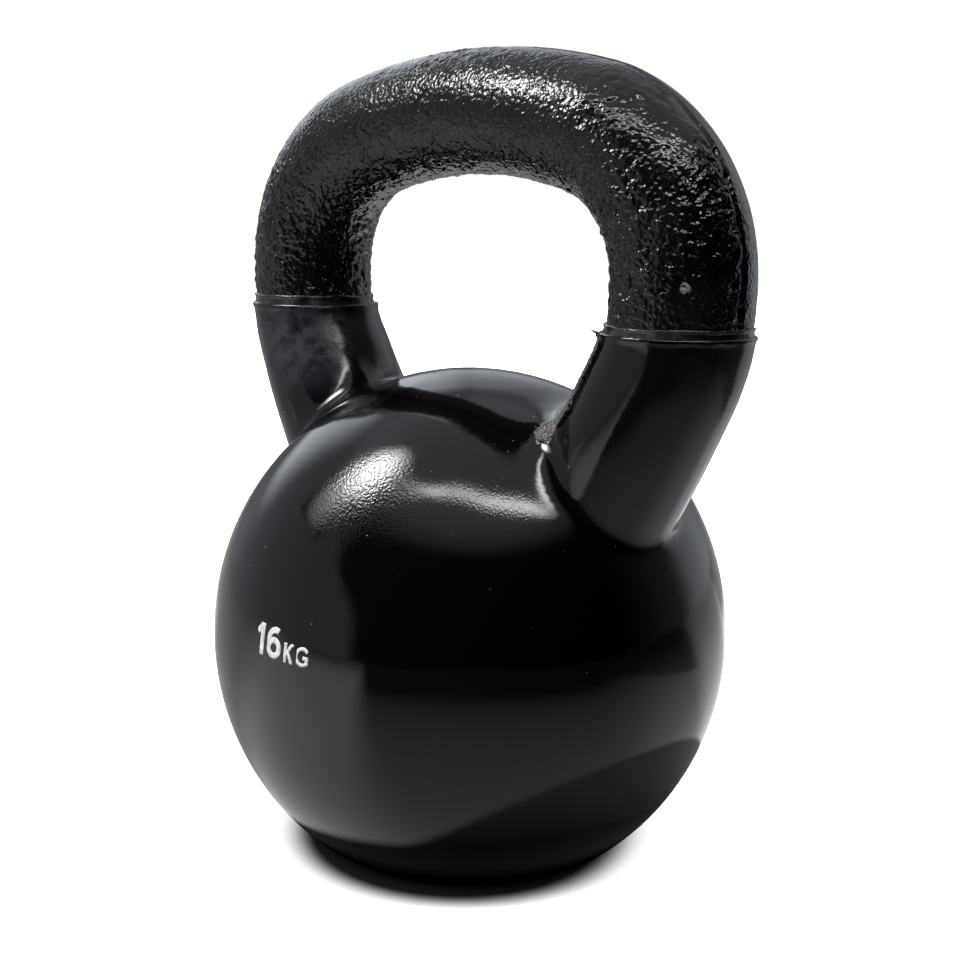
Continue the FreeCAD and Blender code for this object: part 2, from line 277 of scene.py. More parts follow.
def bm_faces(bm):
    bm.verts.index_update()
    return [tuple(vert.index for vert in face.verts) for face in bm.faces]


def keep_piece(obj, node, material):
    """Let an object stand for its CAD node."""
    obj.data.materials.clear()
    obj.data.materials.append(material)
    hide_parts(node)
    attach(obj, "root")


def apply_modifiers(obj):
    """Make the object's modifiers part of its mesh."""
    evaluated = obj.evaluated_get(bpy.context.evaluated_depsgraph_get())
    mesh = bpy.data.meshes.new_from_object(evaluated)
    obj.modifiers.clear()
    old = obj.data
    obj.data = mesh
    bpy.data.meshes.remove(old)


# ---------------------------------------------------------------- the handle's centreline
def handle_centreline(spacing):
    """Points and tangents in the handle's plane, from the left root over the crown to the right root."""
    reach = CROWN_BEND - CORNER_BEND
    corner_x = LEG_X - CORNER_BEND
    corner_z = CROWN_Z - CROWN_BEND + math.sqrt(reach ** 2 - corner_x ** 2)
    shoulder = math.acos(corner_x / reach)
    pieces = [
        ("arc", 0.0, CROWN_Z - CROWN_BEND, CROWN_BEND, math.pi / 2, shoulder),
        ("arc", corner_x, corner_z, CORNER_BEND, shoulder, 0.0),
        ("line", LEG_X, corner_z, corner_z - LEG_FOOT_Z, 0.0, -1.0),
        ("arc", BEND_X, LEG_FOOT_Z, HORN_BEND, 0.0, -HORN_SLANT),
        ("line", FOOT_X, FOOT_Z, HORN_RUN, SLANT[0], SLANT[1]),
    ]
    places, tangents = [], []
    for kind, x, z, size, first, last in pieces:
        if kind == "arc":
            steps = max(2, round(size * abs(first - last) / spacing))
            for turn in np.linspace(first, last, steps, endpoint=False):
                places.append((x + size * math.cos(turn), z + size * math.sin(turn)))
                tangents.append((math.sin(turn), -math.cos(turn)))
        else:
            steps = max(2, round(size / spacing))
            for run in np.linspace(0.0, size, steps, endpoint=False):
                places.append((x + first * run, z + last * run))
                tangents.append((first, last))
    right, right_way = np.array(places), np.array(tangents)
    left = right[:0:-1] * np.array([-1.0, 1.0])
    left_way = right_way[:0:-1] * np.array([1.0, -1.0])
    return np.vstack([left, right]), np.vstack([left_way, right_way])


# ---------------------------------------------------------------- the iron casting
def pebbles(points, size, seed):
    """Rounded bumps with sharp valleys between them, from 0 to about 1."""
    return np.abs(bumps(points, size, seed)) * 1.6


def cast_relief(p, out_cos, height):
    """How far the sand-cast surface stands off its nominal shape, in millimetres."""
    low_leg = smooth(208.0, 188.0, p[:, 2])
    wander = p[:, 1] - 0.9 * bumps(p, (16.0, 30.0, 16.0), 1.1)
    outside = smooth(0.1, 0.5, out_cos)
    fettled = 1.0 - 0.8 * outside * smooth(-1.5, 0.5, wander)
    coarse = smooth(-0.35, 0.45, bumps(p, 15.0, 21.7) + 0.5 * low_leg - 0.1)
    lumps = 0.12 * bumps(p, 8.0, 3.1) + 0.17 * bumps(p, 3.2, 7.7) * (0.2 + coarse)
    on_crown = smooth(198.0, 222.0, p[:, 2])
    grain = (0.13 * pebbles(p, 2.3, 11.3) + 0.13 * bumps(p, 1.35, 31.9)) * (0.5 + 0.6 * coarse)
    grain *= mix(1.0, 0.72, on_crown)
    ridges = 0.22 * bumps(p, (5.0, 5.0, 1.7), 5.9) * low_leg * coarse
    inside = smooth(0.2, -0.6, out_cos) * smooth(165.0, 190.0, p[:, 2])
    comb = 0.22 * bumps(p, (1.45, 4.0, 4.0), 2.3) * inside
    pits = -0.45 * smooth(0.42, 0.75, bumps(p, 2.1, 17.0)) * coarse
    groove = -0.45 * np.exp(-((wander + 1.0) / 0.55) ** 2)
    step = 0.30 * smooth(-0.6, 0.4, wander) * np.exp(-np.maximum(wander, 0.0) / 9.0)
    seam = (groove + step) * (outside + 0.15 * smooth(-0.3, -0.6, out_cos))
    return ((lumps + grain + ridges + comb + pits) * fettled + seam) * height


def handle_grid():
    """Centreline, tangent and radius along the handle: fine where it is bare, coarse inside the coat."""
    centre, tangent = handle_centreline(HANDLE_SPACING)
    bare = centre[:, 1] > COLLAR_Z - 2.0
    keep = bare | (np.arange(len(centre)) % HIDDEN_KEEP == 0)
    keep[[0, -1]] = True
    length = np.concatenate([[0.0], np.cumsum(np.linalg.norm(np.diff(centre, axis=0), axis=1))])
    from_crown = np.abs(length - length[-1] / 2)
    radius = mix(CROWN_RADIUS, LEG_RADIUS, smooth(5.0, 95.0, from_crown))
    return centre[keep], tangent[keep], radius[keep]


def build_handle():
    """The handle and horns. The bare part carries the casting's relief as real geometry."""
    centre, tangent, radius = handle_grid()
    middle, spoke, angle = rings_along(centre, tangent, HANDLE_AROUND)
    nominal = (middle + spoke * radius[:, None, None]).reshape(-1, 3)
    out_cos = np.tile(np.cos(angle), len(centre))
    height = smooth(COLLAR_Z + 0.5, COLLAR_Z + 5.0, nominal[:, 2])
    relief = cast_relief(nominal, out_cos, height) - 0.10
    points = nominal + spoke.reshape(-1, 3) * relief[:, None]
    return new_object("iron_casting", points, tube_faces(len(centre), HANDLE_AROUND))


def build_casting():
    """The handle and horns, joined to the core ball under the coat."""
    handle = build_handle()
    core = add_object("core", flat_footed_ball(72, 48, BALL_SEMI - COAT_ON_BALL, COAT_ON_BALL))
    joined = handle.modifiers.new("core", "BOOLEAN")
    joined.operation = "UNION"
    joined.solver = "EXACT"
    joined.object = core
    apply_modifiers(handle)
    bpy.data.objects.remove(core)
    handle.data.shade_smooth()
    return handle


# ---------------------------------------------------------------- the vinyl coating
def rough_outside():
    """A closed even mesh near the coated outside, from a voxel remesh of simple solids."""
    ball = flat_footed_ball(96, 64, BALL_SEMI, 0.0)
    points = [mesh_points(ball)]
    faces = [tuple(face.vertices) for face in ball.polygons]
    bpy.data.meshes.remove(ball)
    centre, tangent = handle_centreline(STUB_SPACING)
    low = centre[:, 1] < COLLAR_Z + 12.0
    for side in (-1, 1):
        chosen = low & (centre[:, 0] * side > 0)
        middle, spoke, _ = rings_along(centre[chosen], tangent[chosen], STUB_AROUND)
        start = sum(len(part) for part in points)
        stub_faces = tube_faces(len(middle), STUB_AROUND)
        faces += [tuple(index + start for index in face) for face in stub_faces]
        points.append((middle + spoke * (LEG_RADIUS + COAT_ON_HORN)).reshape(-1, 3))
    obj = new_object("vinyl_coating", np.vstack(points), faces)
    remesh = obj.modifiers.new("even", "REMESH")
    remesh.mode = "VOXEL"
    remesh.voxel_size = COAT_VOXEL * MM
    apply_modifiers(obj)
    return obj


def refine_where(bm, wanted):
    """Split the edges whose two ends are both wanted."""
    mask = wanted(bm_points(bm))
    bm.verts.index_update()
    edges = [edge for edge in bm.edges if mask[edge.verts[0].index] and mask[edge.verts[1].index]]
    bmesh.ops.subdivide_edges(bm, edges=edges, cuts=1, use_grid_fill=True)
    bm.verts.ensure_lookup_table()


def drop_folded(bm):
    """Make every face a triangle, and take out pairs of faces that lie on the same three corners."""
    bmesh.ops.triangulate(bm, faces=bm.faces[:])
    on_corners = {}
    for face in bm.faces:
        on_corners.setdefault(frozenset(face.verts), []).append(face)
    folded = [face for faces in on_corners.values() if len(faces) > 1 for face in faces]
    bmesh.ops.delete(bm, geom=folded, context="FACES")


def near_collar(points):
    return np.abs(points[:, 2] - COLLAR_Z) < 3.5


def near_collar_edge(points):
    return np.abs(points[:, 2] - COLLAR_Z) < 1.6


def near_crease(points):
    """Where horn and ball meet at a sharp angle, and the rim of the base."""
    horn, _ = horn_distance(mirrored(points))
    crease = (np.abs(ball_distance(points)) < 4.0) & (np.abs(horn) < 4.0)
    rim = (points[:, 2] < 5.0) & (np.hypot(points[:, 0], points[:, 1]) > 42.0)
    return (crease & (points[:, 2] < COLLAR_Z - 5.0)) | rim


def from_path(points, path):
    """Distance from each point to a path of straight lines."""
    nearest = np.full(len(points), np.inf)
    for start, end in zip(path[:-1], path[1:]):
        way = np.subtract(end, start)
        share = np.clip((points - start) @ way / (way @ way), 0.0, 1.0)
        nearest = np.minimum(nearest, np.linalg.norm(points - start - share[:, None] * way, axis=1))
    return nearest


def near_seam(points):
    """The rough seam up the right horn and the patch at its foot."""
    from_crotch = np.linalg.norm(points - np.array(CROTCH_SPOT), axis=1)
    return np.minimum(from_path(points, SEAM_PATH) + 2.0, from_crotch) < 6.0


def coat_relief(p):
    """Small faults in the dipped skin: the rough seam, puckers round the collars and a gentle waviness."""
    from_crotch = np.linalg.norm(p - np.array(CROTCH_SPOT), axis=1)
    rough = np.maximum(smooth(3.0, 1.2, from_path(p, SEAM_PATH)), smooth(5.2, 3.2, from_crotch))
    pebbled = 0.24 * pebbles(p, 0.95, 3.9) + 0.12 * bumps(p, 2.6, 8.1)
    off_rim = smooth(COLLAR_Z - 0.5, COLLAR_Z - 3.0, p[:, 2])
    under_collar = smooth(COLLAR_Z - 20.0, COLLAR_Z - 4.0, p[:, 2]) * off_rim
    behind = smooth(0.0, 8.0, p[:, 1] + 6.0)
    puckers = 0.10 * bumps(p, (6.0, 6.0, 9.0), 4.2) + 0.05 * bumps(p, 2.8, 12.4) * behind
    horns = smooth(122.0, 136.0, p[:, 2]) * off_rim
    left_waves = 0.09 * bumps(p, 7.0, 15.2) * horns * (p[:, 0] < 0.0)
    return pebbled * rough + puckers * under_collar + left_waves


def leg_centre_x(z):
    """The leg's centreline at a height near the collar."""
    drop = np.clip(LEG_FOOT_Z - z, 0.0, None)
    return BEND_X + np.sqrt(HORN_BEND ** 2 - drop ** 2)


def refined_outside():
    """The coated outside, cut off level at the collars: points, faces and the numbers of the cut's points."""
    obj = rough_outside()
    mesh = obj.data
    set_mesh_points(mesh, press_on(mesh_points(mesh), coat_field))
    bm = bmesh.new()
    bm.from_mesh(mesh)
    bpy.data.objects.remove(obj)
    for wanted in (near_crease, near_collar, near_collar_edge, near_seam, near_seam):
        refine_where(bm, wanted)
    drop_folded(bm)
    for vert, spot in zip(bm.verts, press_on(bm_points(bm), coat_field, 4)):
        vert.co = spot * MM
    everything = bm.verts[:] + bm.edges[:] + bm.faces[:]
    bmesh.ops.bisect_plane(bm, geom=everything, plane_co=(0, 0, COLLAR_Z * MM), plane_no=(0, 0, 1),
                           clear_outer=True, dist=1e-6)
    points, faces = bm_points(bm), bm_faces(bm)
    cut = {vert.index for edge in bm.edges if edge.is_boundary for vert in edge.verts}
    bm.free()
    return points, faces, cut


def skin_sides(points):
    """The skin's outer side, with its small faults, and its inner side."""
    slope = field_slope(points, coat_field)
    normal = slope / np.maximum(np.linalg.norm(slope, axis=1), 1e-6)[:, None]
    horn, _ = horn_distance(mirrored(points))
    thickness = mix(COAT_ON_HORN, COAT_ON_BALL, smooth(0.0, 12.0, horn))
    return points + normal * coat_relief(points)[:, None], points - normal * thickness[:, None]


def rim_rings(outer, cut, side, first_number):
    """New points and faces that round one collar's cut edge over, from the outer side to the inner side."""
    loop = [index for index in cut if outer[index, 0] * side > 0]
    turn = np.arctan2(outer[loop, 1], outer[loop, 0] - leg_centre_x(COLLAR_Z) * side)
    order = np.argsort(turn)
    loop = [loop[i] for i in order]
    turn = turn[order]
    edge = outer[loop]
    spoke = np.stack([np.cos(turn), np.sin(turn), np.zeros(len(turn))], axis=1)
    ragged = 0.07 * bumps(edge, 1.8, 4.4 + side) + 0.13 * bumps(edge, 6.0, 8.8 + side)
    torn = 2.6 if side > 0 else 0.0
    flash = torn * np.exp(-((turn - FLASH_TURN) / 0.045) ** 2)
    points, rings = [], [loop]
    for number, (out, up, share) in enumerate(RIM_PROFILE):
        rise = up * RIM_LIFT[side] + share * (ragged + 0.25 * flash)
        points.append(edge + spoke * (out + share * flash)[:, None] + UPWARD * rise[:, None])
        start = first_number + number * len(loop)
        rings.append(list(range(start, start + len(loop))))
    rings.append([index + len(outer) for index in loop])
    return points, loft_faces(rings)


def build_coating():
    """The dipped skin: a smooth closed shell, open only where the legs come out of it."""
    middle, faces, cut = refined_outside()
    outer, inner = skin_sides(middle)
    points = [outer, inner]
    faces += [tuple(index + len(outer) for index in reversed(face)) for face in faces]
    for side in (-1, 1):
        ring_points, ring_faces = rim_rings(outer, cut, side, sum(len(part) for part in points))
        points += ring_points
        faces += ring_faces
    return new_object("vinyl_coating", np.vstack(points), faces)


# ---------------------------------------------------------------- the edge films
def build_film(side, name):
    """A thin skirt of film that feathers from the coat's cut edge up on to the bare leg."""
    turn = np.arange(FILM_AROUND) * 2.0 * math.pi / FILM_AROUND
    spoke = np.stack([np.cos(turn), np.sin(turn), np.zeros(FILM_AROUND)], axis=1)
    points = []
    for out, up in FILM_PROFILE:
        z = COLLAR_Z + up * FILM_LIFT[side]
        tilt = 1.0 / math.cos(math.asin((LEG_FOOT_Z - z) / HORN_BEND))
        ring = np.stack([leg_centre_x(z) * side + LEG_RADIUS * tilt * np.cos(turn),
                         LEG_RADIUS * np.sin(turn), np.full(FILM_AROUND, z)], axis=1)
        if out > 0:
            wavy = out + 0.10 * bumps(ring, 4.5, 6.1 + side) + 0.05 * bumps(ring, 1.4, 3.3)
            uneven = 0.35 * bumps(ring, 9.0, 2.2 + side) + 0.12 * bumps(ring, 1.9, 9.0)
            rise = uneven * (up / FILM_TOP) ** 2
            ring = ring + spoke * np.maximum(wavy, 0.10)[:, None] + UPWARD * rise[:, None]
        else:
            ring = ring + spoke * out
        points.append(ring)
    rings = [list(range(start, start + FILM_AROUND))
             for start in range(0, len(FILM_PROFILE) * FILM_AROUND, FILM_AROUND)]
    return new_object(name, np.vstack(points), loft_faces(rings + rings[:1]))


# ---------------------------------------------------------------- the printed mark
def build_mark():
    """The printed figure, laid on the coat as a thin layer of ink."""
    bm = bmesh.new()
    bm.from_mesh(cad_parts["weight_mark"].data)
    bmesh.ops.remove_doubles(bm, verts=bm.verts[:], dist=MERGE_DISTANCE)
    for _ in range(4):
        long_edges = [edge for edge in bm.edges if edge.calc_length() > 0.7 * MM]
        if not long_edges:
            break
        bmesh.ops.subdivide_edges(bm, edges=long_edges, cuts=1)
        bmesh.ops.triangulate(bm, faces=bm.faces[:])
    bmesh.ops.remove_doubles(bm, verts=bm.verts[:], dist=MERGE_DISTANCE)
    drop_folded(bm)
    points, faces = bm_points(bm), bm_faces(bm)
    bm.free()
    cad_centre = np.array([0.0, 0.0, CAD_BALL_CENTRE])
    depth = np.linalg.norm(points - cad_centre, axis=1) - coat_high[1]
    lift = np.interp(depth, [0.0, INK_DEPTH], [-0.10, 0.07])
    on_coat = press_on(points, coat_field)
    slope = field_slope(on_coat, coat_field)
    normal = slope / np.linalg.norm(slope, axis=1)[:, None]
    return new_object("weight_mark", on_coat + normal * lift[:, None], faces)


# ---------------------------------------------------------------- building shaders
class Shading:
    """A node tree, and the steps that the looks are put together from. Sockets and plain values both go in."""

    def __init__(self, owner, coordinates="Object"):
        self.nodes, self.links = owner.node_tree.nodes, owner.node_tree.links
        self.place = self.nodes.new("ShaderNodeTexCoord").outputs[coordinates]

    def feed(self, node, inputs):
        """Link or set a node's inputs."""
        for name, value in inputs.items():
            if isinstance(value, bpy.types.NodeSocket):
                self.links.new(value, node.inputs[name])
            else:
                node.inputs[name].default_value = value

    def node(self, kind, output, inputs, **settings):
        """Add a node with these inputs and settings, and give back one of its outputs."""
        node = self.nodes.new("ShaderNode" + kind)
        for name, value in settings.items():
            setattr(node, name, value)
        self.feed(node, inputs)
        return node.outputs[output]

    def math(self, operation, *values):
        """The values taken together in order, two at a time."""
        total = values[0]
        for value in values[1:]:
            total = self.node("Math", "Value", {0: total, 1: value}, operation=operation)
        return total

    def times(self, *values):
        return self.math("MULTIPLY", *values)

    def plus(self, *values):
        return self.math("ADD", *values)

    def largest(self, *values):
        return self.math("MAXIMUM", *values)

    def axes(self):
        """The place along X, Y and Z."""
        split = self.nodes.new("ShaderNodeSeparateXYZ")
        self.links.new(self.place, split.inputs[0])
        return list(split.outputs)

    def vector(self, operation, output, *values):
        return self.node("VectorMath", output, dict(enumerate(values)), operation=operation)

    def ramp(self, value, low, high, out_low=0.0, out_high=1.0):
        """A smooth step: out_low where the value is at low, out_high where it is at high."""
        ends = {"Value": value, "From Min": low, "From Max": high, "To Min": out_low, "To Max": out_high}
        return self.node("MapRange", "Result", ends, interpolation_type="SMOOTHSTEP")

    def turn_ramp(self, turn, low, high, out_low=0.0, out_high=1.0):
        """A ramp over a turn, with its two ends in degrees."""
        return self.ramp(turn, math.radians(low), math.radians(high), out_low, out_high)

    def mix(self, factor, first, second, kind="RGBA"):
        return self.node("Mix", "Result", {"Factor": factor, "A": first, "B": second}, data_type=kind)

    def noise(self, scale, detail=2.0, roughness=0.5):
        inputs = {"Vector": self.place, "Scale": scale, "Detail": detail, "Roughness": roughness}
        return self.node("TexNoise", "Fac", inputs)

    def pebbles(self, scale, smoothness):
        """Distance from the middles of soft-edged cells."""
        inputs = {"Vector": self.place, "Scale": scale, "Smoothness": smoothness}
        return self.node("TexVoronoi", "Distance", inputs, feature="SMOOTH_F1")

    def near(self, place, radius, softness):
        """1 inside a ball of space round a point, 0 outside, in millimetres."""
        distance = self.vector("DISTANCE", "Value", self.place, [value * MM for value in place])
        return self.ramp(distance, (radius + softness) * MM, (radius - softness) * MM)

    def dust(self, scale, size, share):
        """Scattered specks: 1 inside a round speck, kept in only some of the cells."""
        cells = self.nodes.new("ShaderNodeTexVoronoi")
        self.feed(cells, {"Vector": self.place, "Scale": scale})
        split = self.nodes.new("ShaderNodeSeparateColor")
        self.feed(split, {"Color": cells.outputs["Color"]})
        chosen = self.math("LESS_THAN", split.outputs["Red"], share)
        speck_size = self.times(split.outputs["Green"], size)
        inside = self.math("LESS_THAN", cells.outputs["Distance"], speck_size)
        return self.times(chosen, inside)

    def scratch(self, start, end, width):
        """1 on a straight scratch between two places, in millimetres."""
        start, end = Vector(start), Vector(end)
        offset = self.vector("SUBTRACT", "Vector", self.place, start * MM)
        across = self.vector("CROSS_PRODUCT", "Vector", offset, (end - start).normalized())
        from_line = self.vector("LENGTH", "Value", across)
        on_line = self.ramp(from_line, width * MM, 0.4 * width * MM)
        reach = (end - start).length / 2.0 + width / 2.0
        return self.times(on_line, self.near((start + end) / 2.0, reach, 0.4))

    def scratches(self, path, width):
        """1 on a scratch along a path of straight lines."""
        return self.largest(*(self.scratch(start, end, width) for start, end in zip(path[:-1], path[1:])))

    def bump(self, shader, heights):
        """Chain of bumps: (height value, strength, distance in metres)."""
        normal = None
        for value, strength, distance in heights:
            inputs = {"Height": value, "Strength": strength, "Distance": distance}
            if normal:
                inputs["Normal"] = normal
            normal = self.node("Bump", "Normal", inputs)
        self.feed(shader, {"Normal": normal})


def new_material(name):
    """A surface material, its shading steps and its shader."""
    material = bpy.data.materials.new(name)
    material.use_nodes = True
    return material, Shading(material), material.node_tree.nodes["Principled BSDF"]


def only_glows(owner, emitter, output):
    """Clear the owner's nodes and leave one emitter on its output."""
    owner.use_nodes = True
    nodes = owner.node_tree.nodes
    nodes.clear()
    glow = nodes.new(emitter)
    owner.node_tree.links.new(glow.outputs[0], nodes.new(output).inputs["Surface"])
    return glow


# ---------------------------------------------------------------- materials
# Spots on the surface and the width of what is drawn there, in millimetres.
CHIP_SPOT = (86.4, -15.2, 171.6)
SHOULDER_SPOT = (74.0, -8.0, 222.0)
HANDLED_LEFT = (-60.0, -14.0, 149.0)
HANDLED_RIGHT = (91.5, -6.0, 150.0)
STREAK_SPOT = (44.0, -40.0, 116.0)
HAIR_PATH = [(84.4, -17.9, 156.8), (87.4, -15.4, 155.6), (88.6, -13.8, 152.8)]
HAIR_WIDTH = 0.22
SEAM_WIDTH = 3.0


def painted_iron():
    """Thin gloss paint over a sand-cast surface, with one chip in it."""
    material, s, shader = new_material("painted_iron")
    patch = s.noise(60.0, 3.0)
    grain = s.noise(820.0, 1.0, 0.4)
    cells = s.pebbles(760.0, 0.4)
    tone = s.mix(s.ramp(patch, 0.35, 0.7), (0.003, 0.003, 0.0034, 1.0), (0.009, 0.0088, 0.009, 1.0))
    chipped = s.ramp(s.times(s.near(CHIP_SPOT, 1.7, 1.4), grain), 0.34, 0.44)
    gloss = s.ramp(patch, 0.3, 0.75, 0.07, 0.14)
    s.feed(shader, {"Base Color": s.mix(chipped, tone, (0.27, 0.20, 0.15, 1.0)),
                    "Roughness": s.plus(gloss, s.times(chipped, 0.6)),
                    "Specular IOR Level": 0.42})
    _, y, z = s.axes()
    behind = s.ramp(y, -0.001, 0.002, 1.0, 0.4)
    shoulder = s.ramp(s.near(SHOULDER_SPOT, 22.0, 12.0), 0.0, 1.0, 1.0, 0.5)
    crown = s.ramp(z, 0.198, 0.222, 1.0, 0.62)
    calm = s.times(behind, shoulder, crown)
    s.bump(shader, [(s.times(cells, calm), 1.0, -0.00024), (s.times(grain, calm), 1.0, 0.00048)])
    return material


def vinyl_specks(s):
    """1 on dust and on the one fine scratch. The finest dust has settled only on the upper part."""
    _, _, z = s.axes()
    fine_dust = s.times(s.dust(420.0, 0.065, 0.35), s.ramp(z, 0.090, 0.125))
    return s.largest(s.dust(230.0, 0.055, 0.5), fine_dust, s.scratches(HAIR_PATH, HAIR_WIDTH))


def vinyl_seam(s, speckle, fine_grit):
    """Where the skin is rough along the trapped seam, and the colour that it has there."""
    crotch = s.near(CROTCH_SPOT, 4.2, 1.6)
    seam = s.largest(s.scratches(SEAM_PATH, SEAM_WIDTH), crotch)
    rough = s.ramp(s.plus(seam, s.times(speckle, 0.6)), 0.85, 1.0)
    pale_grit = s.mix(crotch, (0.13, 0.12, 0.115, 1.0), (0.30, 0.265, 0.24, 1.0))
    grit = s.mix(s.ramp(fine_grit, 0.46, 0.58), (0.010, 0.010, 0.010, 1.0), pale_grit)
    return rough, grit


def black_vinyl():
    """Smooth glossy dip coating with dust, faint scuffs, a rough seam and a very fine scratch."""
    material, s, shader = new_material("black_vinyl")
    cloud = s.noise(28.0, 4.0)
    wave = s.noise(55.0, 1.0)
    speckle = s.noise(1500.0, 2.0)
    smudge = s.noise(190.0, 4.0, 0.6)
    fine_grit = s.noise(2700.0, 2.0)
    leather = s.pebbles(1500.0, 1.0)
    rough, grit = vinyl_seam(s, speckle, fine_grit)

    handled = s.plus(s.near(HANDLED_LEFT, 15.0, 8.0), s.times(s.near(HANDLED_RIGHT, 8.0, 5.0), 0.6))
    haze = s.times(handled, s.ramp(smudge, 0.30, 0.62, 0.25, 1.0))
    tone = s.mix(haze, (0.0018, 0.0020, 0.0027, 1.0), (0.034, 0.036, 0.043, 1.0))
    tone = s.mix(vinyl_specks(s), tone, (0.34, 0.34, 0.35, 1.0))

    scuff = s.near(SCUFF_SPOT, 14.0, 7.0)
    streak = s.near(STREAK_SPOT, 14.0, 6.0)
    gloss = s.ramp(cloud, 0.35, 0.75, 0.07, 0.12)
    dull = s.plus(s.times(haze, 0.22), s.times(scuff, 0.06))
    s.feed(shader, {"Base Color": s.mix(rough, tone, grit),
                    "Roughness": s.plus(gloss, dull, s.times(rough, 0.5))})
    s.bump(shader, [
        (wave, 0.10, 0.0006),
        (s.times(leather, s.plus(scuff, 0.04)), 1.0, -0.00007),
        (s.times(speckle, s.plus(streak, 0.05)), 1.0, 0.00003),
        (s.times(smudge, handled), 0.4, 0.00035),
        (s.times(fine_grit, rough), 1.0, 0.0005)])
    return material


def vinyl_film():
    """Thin trimmed film, a little greyer than the coat."""
    material, s, shader = new_material("vinyl_film")
    patch = s.noise(220.0, 3.0)
    tone = s.mix(s.ramp(patch, 0.4, 0.7), (0.012, 0.012, 0.013, 1.0), (0.05, 0.05, 0.052, 1.0))
    s.feed(shader, {"Base Color": tone, "Roughness": 0.16})
    s.bump(shader, [(patch, 0.4, 0.0003)])
    return material


def white_ink():
    """Slightly worn printed ink."""
    material, s, shader = new_material("white_ink")
    wear = s.ramp(s.noise(700.0, 3.0), 0.3, 0.62)
    tone = s.mix(wear, (0.55, 0.56, 0.57, 1.0), (0.88, 0.88, 0.88, 1.0))
    s.feed(shader, {"Base Color": tone, "Roughness": 0.45})
    return material


# ---------------------------------------------------------------- stage, light and camera
CAMERA_PLACE = Vector((287.7, -297.9, 189.6)) * MM
CAMERA_AIM = Vector((1.64, 1.57, 109.3)) * MM
CAMERA_ROLL = math.radians(0.82)
CAMERA_LENS = 51.97
CAMERA_TURN = 44.0
TENT_RADIUS = 3000.0
FLOOR_HALF = 4000.0
GLOSS_FLOOR_HALF = 1200.0
# The floor that the gloss sees is just under the one that the camera sees.
GLOSS_FLOOR_Z = -0.3
LAMP_HEIGHT = 450.0
LAMP_COLUMNS = 11
# Two lamps over the set, in millimetres, each with stops along it: x, y, half width, strength.
BRIGHT_LAMP = [
    (-90.0, -100.0, 50.0, 0.0), (-116.0, -130.0, 64.0, 12.0), (-144.0, -160.0, 72.0, 32.0),
    (-172.0, -188.0, 76.0, 40.0), (-212.0, -218.0, 80.0, 32.0), (-258.0, -250.0, 86.0, 14.0),
    (-312.0, -288.0, 96.0, 5.0), (-376.0, -332.0, 110.0, 3.0), (-450.0, -385.0, 124.0, 1.5),
    (-520.0, -435.0, 130.0, 0.0),
]
STRIP_LAMP = [
    (-112.0, -222.0, 40.0, 0.0), (-60.0, -212.0, 32.0, 4.5), (0.0, -197.0, 28.0, 8.5),
    (42.0, -178.0, 28.0, 13.0), (93.0, -143.0, 29.0, 12.0), (135.0, -125.0, 30.0, 13.0),
    (170.0, -106.0, 33.0, 15.0), (200.0, -75.0, 36.0, 16.0), (228.0, -44.0, 38.0, 16.0),
    (254.0, -14.0, 38.0, 14.0), (278.0, 12.0, 36.0, 9.0), (296.0, 34.0, 32.0, 4.0),
    (310.0, 54.0, 30.0, 0.0),
]
# The tent in the gloss, as strengths that add up: each with the bounds that it holds within, and each bound
# with what it is on, its middle and its softness. A bound with a negative softness holds below its middle.
# Turns are in degrees to the right of straight ahead of the camera; heights are sines above level.
BELOW_ROOF = ("height", 0.80, -0.10)
BACK_BAND = [("height", 0.17, 0.08), ("height", 0.66, -0.08)]
TENT_GLOW = [
    (0.38, [("leaning", -51.0, -4.0), ("turn", -148.0, 14.0), BELOW_ROOF]),
    (0.16, [("turn", -140.0, -14.0), BELOW_ROOF]),
    (0.6, [("turn", -138.0, -12.0)] + BACK_BAND),
    (0.8, [("turn", -138.0, -12.0), ("turn", -175.0, 6.0)] + BACK_BAND),
    (0.6, [("turn", 166.0, 12.0)] + BACK_BAND),
    (0.12, [("turn", 85.0, 20.0), BELOW_ROOF]),
    (0.45, [("turn", 112.0, 10.0), ("turn", 146.0, -12.0), BELOW_ROOF]),
    (0.14, [("turn", 112.0, 10.0), BELOW_ROOF]),
    (0.62, [("height", 0.76, 0.10)]),
]


def emission_material(name, strength):
    """A plain glow. The strength is a number or the name of a mesh attribute."""
    material = bpy.data.materials.new(name)
    glow = only_glows(material, "ShaderNodeEmission", "ShaderNodeOutputMaterial")
    if isinstance(strength, str):
        strength = Shading(material).node("Attribute", "Fac", {}, attribute_name=strength)
        material.node_tree.links.new(strength, glow.inputs["Strength"])
    else:
        glow.inputs["Strength"].default_value = strength
    return material


def only_seen_by(obj, camera=False, glossy=False):
    obj.visible_camera = camera
    obj.visible_glossy = glossy
    obj.visible_diffuse = False
    obj.visible_transmission = False
    obj.visible_volume_scatter = False
    obj.visible_shadow = False


def direction(turn, height):
    """Unit vector for a turn from the front (-Y) towards +X, and a height above level, in degrees."""
    turn, height = math.radians(turn), math.radians(height)
    return np.array([math.sin(turn) * math.cos(height), -math.cos(turn) * math.cos(height), math.sin(height)])


def flat_sheet(name, height, half, material):
    """A level square to stand in the scene round the object."""
    corners = [(-half, -half, height), (half, -half, height), (half, half, height), (-half, half, height)]
    obj = new_object(name, np.array(corners), [(0, 1, 2, 3)])
    obj.data.materials.append(material)
    return obj


def add_sun(name, turn, height, spread, strength):
    """A soft far lamp that does not show in the gloss. The angles are in degrees."""
    data = bpy.data.lights.new(name, "SUN")
    data.angle = math.radians(spread)
    data.energy = strength
    light = add_object(name, data)
    light.rotation_mode = "QUATERNION"
    light.rotation_quaternion = Vector(direction(turn, height)).to_track_quat("Z", "Y")
    light.visible_glossy = False
    return light


